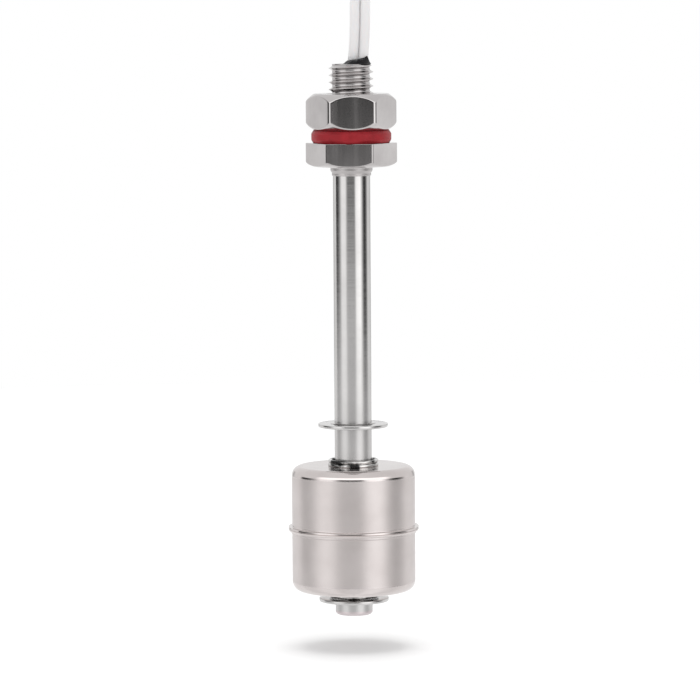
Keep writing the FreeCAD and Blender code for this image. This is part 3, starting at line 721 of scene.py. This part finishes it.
def stop_ring(name, level):
    """A flat retaining ring, open at the back, with three prongs that reach into the groove.
    Half is half a prong's width, and opening half the width of the ring's opening."""
    outer, pocket, half, opening, bevel = 7.5, 4.8, 1.3, 3.0, 0.1

    def arc(radius, start, end, steps):
        return [
            (radius * sin(radians(start + (end - start) * i / steps)),
             -radius * cos(radians(start + (end - start) * i / steps)))
            for i in range(steps + 1)
        ]

    def spread(radius, width):
        return degrees(atan2(width, sqrt(radius * radius - width * width)))

    edge = 180 - spread(outer, opening)
    outline = arc(outer, -edge, edge, 110)
    start = 180 - spread(pocket, opening)
    for prong in (108, 0, -108):
        outline += arc(pocket, start, prong + spread(pocket, half), 12)
        reach = spread(GROOVE_RADIUS, half)
        outline += arc(GROOVE_RADIUS, prong + reach, prong - reach, 8)
        start = prong - spread(pocket, half)
    outline += arc(pocket, start, -180 + spread(pocket, opening), 12)
    bm = bmesh.new()
    flat = bm.faces.new([bm.verts.new((x, y, level)) for x, y in outline])
    raised = bmesh.ops.extrude_face_region(bm, geom=[flat])["geom"]
    moved = [item for item in raised if isinstance(item, bmesh.types.BMVert)]
    bmesh.ops.translate(bm, vec=(0, 0, STOP_THICKNESS), verts=moved)
    rims = [edge for edge in bm.edges if abs(edge.verts[0].co.z - edge.verts[1].co.z) < 1e-6]
    bmesh.ops.bevel(bm, geom=rims, offset=bevel, segments=3, profile=0.5, affect="EDGES")
    bmesh.ops.recalc_face_normals(bm, faces=bm.faces)
    bmesh.ops.triangulate(bm, faces=[face for face in bm.faces if len(face.verts) > 4])
    return finish_mesh(name, bm, 40)


dress(stop_ring("upper_ring", UPPER_STOP), SPRING, "stem", "stainless_steel", "upper_stop_ring")
dress(stop_ring("lower_ring", LOWER_STOP - STOP_THICKNESS), SPRING, "stem", "stainless_steel",
      "lower_stop_ring")


# Float: two drawn shells whose rims meet at the seam, and the bore tube with its rolled lips.
# WALL, NECK and LIP are the radii of the shells' wall, of the hole in their ends and of the lips,
# and SHEET is the thickness of the steel

WALL = 13.25
NECK = 4.85
LIP = 5.4
SHEET = 0.25


def float_shell(name, side, step):
    """A drawn half of the float. Its wall may begin with a low step under the seam's rim."""
    rim_height, corner_fillet = 0.5, 2.0
    half = [(WALL - SHEET, 0.0, 0), (13.93, 0.0, 0), (14.05, 0.1, 0.05), (14.015, 0.42, 0.08)]
    if step:
        half += [(WALL + step, rim_height, 0.1), (WALL + step, 1.0, 0.06), (WALL, 1.1, 0.06)]
    else:
        half += [(WALL, rim_height, 0.15)]
    half += [
        (WALL, FLOAT_HALF, corner_fillet), (NECK, FLOAT_HALF, 0), (NECK, FLOAT_HALF - SHEET, 0),
        (WALL - SHEET, FLOAT_HALF - SHEET, corner_fillet - SHEET),
    ]
    corners = [(r, side * z, fillet) for r, z, fillet in half]
    return lathe(name, corners, count=224, steps=8, lift=FLOAT_MIDDLE)


def float_bore():
    """The bore tube and, at each end, the shell's neck and the lip that is rolled over it."""
    foot, groove, top = FLOAT_HALF - 0.1, FLOAT_HALF + 0.68, FLOAT_HALF + 1.42
    half_groove, bore = 0.03, 4.6
    lip = [
        (NECK, foot, 0), (5.15, foot, 0), (LIP, foot + 0.2, 0.12), (LIP, groove - half_groove, 0.3),
        (NECK, groove - half_groove, 0), (NECK, groove + half_groove, 0),
        (LIP, groove + half_groove, 0.3), (LIP, top, 0.34), (bore, top, 0.25),
    ]
    corners = lip + [(r, -z, fillet) for r, z, fillet in reversed(lip)]
    return lathe("float_bore", corners, count=160, lift=FLOAT_MIDDLE)


dress(float_shell("float_top", 1, 0), SATIN, "float", "float_steel", "float_upper_shell")
dress(float_shell("float_bottom", -1, 0.18), SATIN, "float", "float_steel", "float_lower_shell")
dress(float_bore(), LIP_STEEL_PAINTED_REFLECTIONS, "float", "float_steel", "float_inner_tube")


# Potting: an uneven lump that climbs the two leads and runs over the stud's edge on one side


def potting_height(x, y):
    """Height of the resin over the stud's mouth: a mound round both leads, higher at its right."""
    level, plateau, plateau_radius = 16.55, 1.15, 2.9
    plateau_x, plateau_y = 1.56, -0.3

    def hill(high, across, along, wide):
        return high * exp(-((x - across) ** 2 + (y - along) ** 2) / wide ** 2)

    away = sqrt((x - plateau_x) ** 2 + (y - plateau_y) ** 2)
    mound = plateau / (1 + (away / plateau_radius) ** 8)
    mound += hill(0.45, 2.7, -1.1, 1.0)
    mound += hill(0.6, 3.5, -1.1, 0.42)
    waves = noise.noise(Vector((x, y, 3.0)) * 1.1) * 0.20
    waves += noise.noise(Vector((x, y, 7.0)) * 3) * 0.06
    return level + mound + waves * 0.6


def potting_edge(angle):
    """Radius of the lump's edge, which runs over the stud's rim to the right."""
    radius, overrun, overrun_turn, waves = 3.72, 0.72, 0.35, 0.08
    return radius + overrun * max(0, cos(angle + overrun_turn)) ** 2 + waves * sin(5 * angle)


def potting():
    """The lump, its edge drawn down to the rim or into the mouth, and the resin in the bore."""
    count, steps = 120, 34
    rim, in_mouth, fall_start = 3.9, 16.6, 0.86
    bore, neck, depth = 3.6, 16.3, 10.0
    rows = []
    for share in [i / steps for i in range(steps + 1)]:
        row = []
        for i in range(count):
            angle = 2 * pi * i / count
            edge = potting_edge(angle)
            reach = edge * share
            x, y = reach * cos(angle), reach * sin(angle)
            height = potting_height(x, y)
            fall = max(0, (share - fall_start) / (1 - fall_start)) ** 2
            base = STUD_TOP if edge > rim else in_mouth
            row.append((x, y, height + (base - height) * fall))
        rows.append(row)
    for radius, level in ((bore, neck), (bore, depth), (0, depth)):
        rows.append(ring_row(radius, level, count))
    return skin("potting_lump", rows, sharp=60)


dress(potting(), BLACK, "stem", "black_potting", "potting_seal")


# CAD nodes that stay: what is sealed inside the stem and the float

KEPT = {
    "float_magnet": FERRITE,
    "magnet_spacer_upper": SPACER,
    "magnet_spacer_lower": SPACER,
    "reed_glass": glass(),
    "reed_blade_upper": TINNED,
    "reed_blade_lower": TINNED,
    "reed_sleeve": SLEEVE,
    "inner_lead_a": WHITE,
    "inner_lead_b": WHITE,
    "conductor_upper": TINNED,
    "conductor_lower": TINNED,
    "solder_joint_upper": TINNED,
    "solder_joint_lower": TINNED,
    "stem_resin": RESIN,
}
for node, finish in KEPT.items():
    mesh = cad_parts[node].data
    mesh.materials.clear()
    mesh.materials.append(finish)


# Floor, studio and camera

FLOOR_LEVEL = -108.7


def floor():
    """A round white floor below the switch, which hangs just clear of it."""
    rows = [ring_row(radius, FLOOR_LEVEL, 128) for radius in (0, 40, 120, 300, 580)]
    made = skin("floor", rows)
    finish = Finish("floor_paper", rough=0.9)
    finish.ramp(finish.noise(90, detail=5), [
        (0.3, (0.95, 0.95, 0.95)), (0.7, (0.97, 0.97, 0.97)),
    ])
    finish.put("Specular IOR Level", 0.0)
    made.data.materials.append(finish.made)
    made.visible_glossy = False


floor()

# The studio as the metal sees it. RING is the brightness of what stands round the switch, and FEET
# the angle below the horizon at which the paper floor begins in front of it. Both go by degrees
# about the vertical from the front of the switch, positive to the right. PAPER is the floor's
# brightness, and PAPER_CONTRAST the share of it that follows the panels. CEILING is the brightness
# overhead, and CANOPY what hangs below it in front of the switch, by the sine of the height.
# AMBIENT is the surroundings' brightness for what isn't shiny. RING_TOP and FEET_TOP scale the
# values of a table into a colour ramp
RING = [
    (-180, 0.92), (-160, 0.92), (-152, 0.45), (-144, 0.95), (-116, 1.06), (-111, 0.02), (-98, 0.05),
    (-88, 0.20), (-80, 0.50), (-72, 1.00), (-64, 1.45), (-42, 1.45), (-36, 1.10), (-30, 0.50),
    (-24, 0.08), (12, 0.06), (17, 0.40), (23, 1.30), (30, 1.70), (52, 1.90), (60, 1.30), (70, 0.45),
    (78, 0.09), (86, 0.03), (95, 0.14), (104, 0.50), (113, 1.10), (144, 0.95), (152, 0.45),
    (160, 0.92), (180, 0.92),
]
FEET = [
    (-180, 6.0), (-118, 6.0), (-112, 5.1), (-88, 5.1), (-78, 5.5), (-36, 5.5), (-26, 3.8),
    (14, 3.8), (24, 6.3), (104, 6.3), (112, 6.0), (180, 6.0),
]
PAPER = 1.16
PAPER_CONTRAST = 0.12
RING_TOP = 2.0
FEET_TOP = 10.0
AMBIENT = 0.88
CEILING = 1.0
CANOPY = [(0.0, 1.0), (0.22, 1.9), (0.5, 1.9), (0.62, CEILING), (1.0, CEILING)]


class Maths:
    """Short forms for a node tree's arithmetic."""

    def __init__(self, tree):
        self.nodes = tree.nodes
        self.links = tree.links

    def feed(self, socket, value):
        if isinstance(value, (int, float)):
            socket.default_value = value
        else:
            self.links.new(value, socket)

    def do(self, kind, *values):
        made = self.nodes.new("ShaderNodeMath")
        made.operation = kind
        for socket, value in zip(made.inputs, values):
            self.feed(socket, value)
        return made.outputs[0]

    def between(self, value, start, end):
        """A smooth step from 0 at the start to 1 at the end."""
        made = self.nodes.new("ShaderNodeMapRange")
        made.interpolation_type = "SMOOTHSTEP"
        for socket, item in zip(made.inputs, (value, start, end)):
            self.feed(socket, item)
        return made.outputs["Result"]

    def mix(self, share, first, second):
        made = self.nodes.new("ShaderNodeMix")
        made.data_type = "FLOAT"
        for name, value in (("Factor", share), ("A", first), ("B", second)):
            self.feed(made.inputs[name], value)
        return made.outputs["Result"]

    def table(self, place, top, stops):
        """A value up to a top, read from a table of (place, value)."""
        made = self.nodes.new("ShaderNodeValToRGB")
        fill_ramp(made.color_ramp.elements, [
            (position, (value / top,) * 3) for position, value in stops
        ])
        self.links.new(place, made.inputs["Fac"])
        return self.do("MULTIPLY", made.outputs["Color"], top)

    def by_degrees(self, place, top, stops):
        """The same for a table that goes by degrees from -180 to 180."""
        return self.table(place, top, [((angle + 180) / 360, value) for angle, value in stops])


def studio():
    """White surroundings for floor and camera, and panels on a paper floor for the metal."""
    canopy_edge = (-0.15, -0.45)
    floor_edge = (-1.1, 1.1)
    ring_edge = (0.10, 0.22)
    world = bpy.data.worlds.new("studio")
    world.use_nodes = True
    bpy.context.scene.world = world
    tree = Maths(world.node_tree)
    split = tree.nodes.new("ShaderNodeSeparateXYZ")
    tree.links.new(tree.nodes.new("ShaderNodeTexCoord").outputs["Generated"], split.inputs[0])
    azimuth = tree.do("ARCTAN2", split.outputs["X"], tree.do("MULTIPLY", split.outputs["Y"], -1))
    place = tree.do("MULTIPLY_ADD", azimuth, 1 / (2 * pi), 0.5)
    fall = tree.do("MULTIPLY", tree.do("ARCSINE", split.outputs["Z"]), -180 / pi)
    panels = tree.by_degrees(place, RING_TOP, RING)
    feet = tree.by_degrees(place, FEET_TOP, FEET)
    canopy = tree.table(split.outputs["Z"], RING_TOP, CANOPY)
    in_front = tree.between(split.outputs["Y"], *canopy_edge)
    paper = tree.mix(PAPER_CONTRAST, PAPER, panels)
    on_floor = tree.between(tree.do("SUBTRACT", fall, feet), *floor_edge)
    around = tree.mix(on_floor, panels, paper)
    ceiling = tree.mix(in_front, CEILING, canopy)
    seen = tree.mix(tree.between(split.outputs["Z"], *ring_edge), around, ceiling)
    rays = tree.nodes.new("ShaderNodeLightPath")
    plain = tree.mix(rays.outputs["Is Camera Ray"], AMBIENT, 1.0)
    final = tree.mix(rays.outputs["Is Glossy Ray"], plain, seen)
    tree.links.new(final, tree.nodes["Background"].inputs["Color"])


studio()


# The light and the camera, in metres, degrees and watts

LIGHT_PLACE = Vector((0.0, 0.02, 0.75))
LIGHT_TARGET = Vector((0, 0, -0.1))
LIGHT_WIDTH = 0.42
LIGHT_DEPTH = 0.75
LIGHT_ENERGY = 3.0
CAMERA_PLACE = (-0.00056, -0.888, 0.036)
CAMERA_LENS = 213.8
CAMERA_DIP = 5.175
CAMERA_ROLL = -0.36


def overhead_light():
    """A soft light over the switch, for its shadow on the floor. The metal doesn't mirror it."""
    light = bpy.data.lights.new("overhead", "AREA")
    light.shape = "RECTANGLE"
    light.size, light.size_y = LIGHT_WIDTH, LIGHT_DEPTH
    light.energy = LIGHT_ENERGY
    made = bpy.data.objects.new("overhead", light)
    bpy.context.scene.collection.objects.link(made)
    made.visible_glossy = False
    made.location = LIGHT_PLACE
    made.rotation_euler = (LIGHT_TARGET - LIGHT_PLACE).to_track_quat("-Z", "Y").to_euler()


def camera():
    """The photograph's view: far off with a long lens, above the flange, rolled slightly."""
    data = bpy.data.cameras.new("camera")
    data.sensor_width = 36
    data.lens = CAMERA_LENS
    data.clip_start, data.clip_end = 0.05, 20
    made = bpy.data.objects.new("camera", data)
    bpy.context.scene.collection.objects.link(made)
    made.location = CAMERA_PLACE
    tilt = Euler((radians(90 - CAMERA_DIP), 0, 0)).to_matrix()
    made.rotation_euler = (tilt @ Matrix.Rotation(radians(CAMERA_ROLL), 3, "Z")).to_euler()
    bpy.context.scene.camera = made


overhead_light()
camera()
bpy.context.scene.view_settings.view_transform = "Standard"
